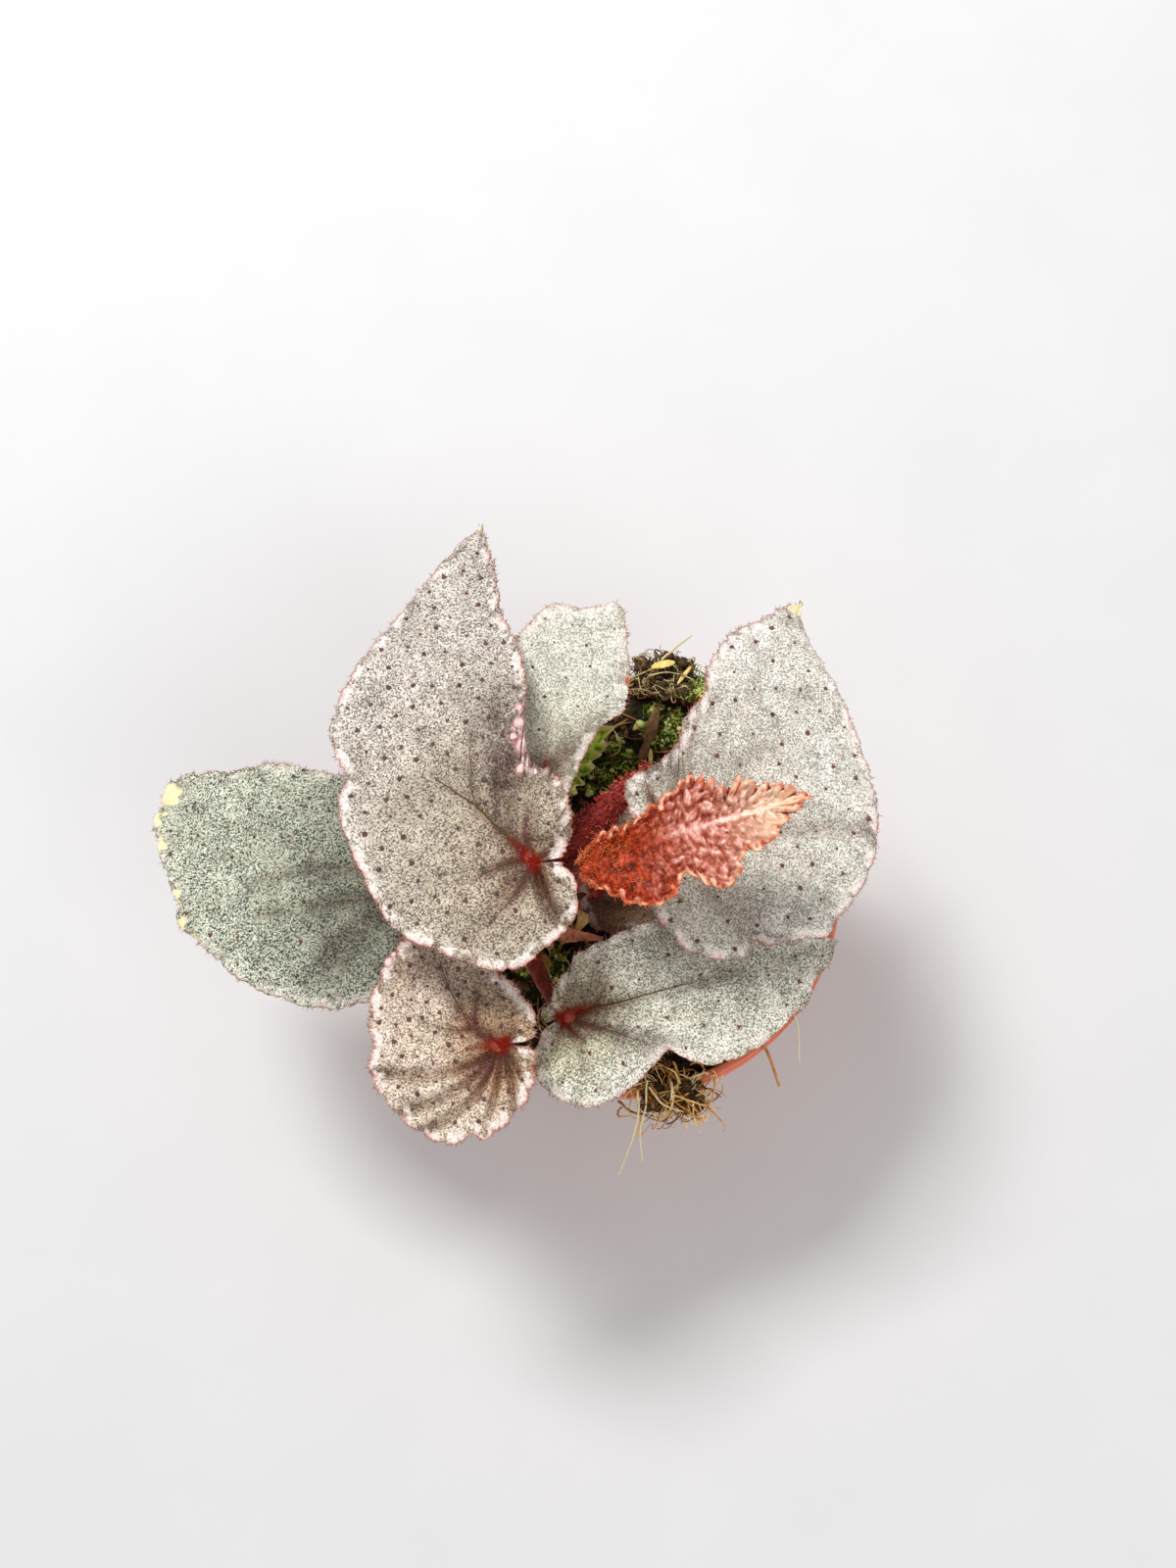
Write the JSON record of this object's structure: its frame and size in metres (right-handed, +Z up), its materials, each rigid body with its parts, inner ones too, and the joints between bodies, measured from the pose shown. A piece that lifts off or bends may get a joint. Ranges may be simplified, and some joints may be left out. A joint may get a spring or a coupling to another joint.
{
  "type": "potted lamriana silver begonia",
  "caption": "Small rhizomatous begonia with silver heart-shaped leaves on red stalks, growing in a round tapered nursery pot.",
  "frame": {"origin": "middle of the pot's flat underside, on the pot's axis", "axes": "+Z up along the pot's axis, +X towards the side where the two large right-hand leaves reach out, +Y towards the tip of the tallest silver leaf"},
  "size_m": [0.1226, 0.1066, 0.1113],
  "materials": {
    "pot_plastic": "satin terracotta-coloured plastic",
    "potting_mix": "damp peat and coir crumbs",
    "leaf_silver": "silver-speckled leaf with pink margin",
    "leaf_brown_silver": "silver-speckled leaf on a brown ground",
    "leaf_green_silver": "silver-speckled leaf on a green ground",
    "leaf_young": "glossy puckered red young leaf",
    "stalk_red": "hairy dark red stalk",
    "rhizome_brown": "scarred fleshy stem",
    "stipule_papery": "dry papery scale",
    "moss_green": "fleshy green thallus",
    "coir_fibre": "dry fibre and root",
    "bark_brown": "dry bark sliver"
  },
  "bodies": {
    "root": {"pot": "pot_plastic", "soil": "potting_mix", "rhizome": "rhizome_brown", "blade_top": "leaf_silver", "stalk_top": "stalk_red", "blade_right": "leaf_silver", "stalk_right": "stalk_red", "blade_front": "leaf_green_silver", "stalk_front": "stalk_red", "blade_low_left": "leaf_brown_silver", "stalk_low_left": "stalk_red", "blade_left": "leaf_green_silver", "stalk_left": "stalk_red", "blade_back": "leaf_silver", "stalk_back": "stalk_red", "blade_young": "leaf_young", "stalk_young": "stalk_red", "blade_under": "leaf_green_silver", "stalk_under": "stalk_red", "folded_leaf": "stalk_red", "stipule_1": "stipule_papery", "stipule_2": "stipule_papery", "stipule_3": "stipule_papery", "liverwort": "moss_green", "fibres_front": "coir_fibre", "fibres_back": "coir_fibre", "twig": "coir_fibre", "pale_root": "coir_fibre", "bark_chip": "bark_brown"}
  },
  "joints": []
}
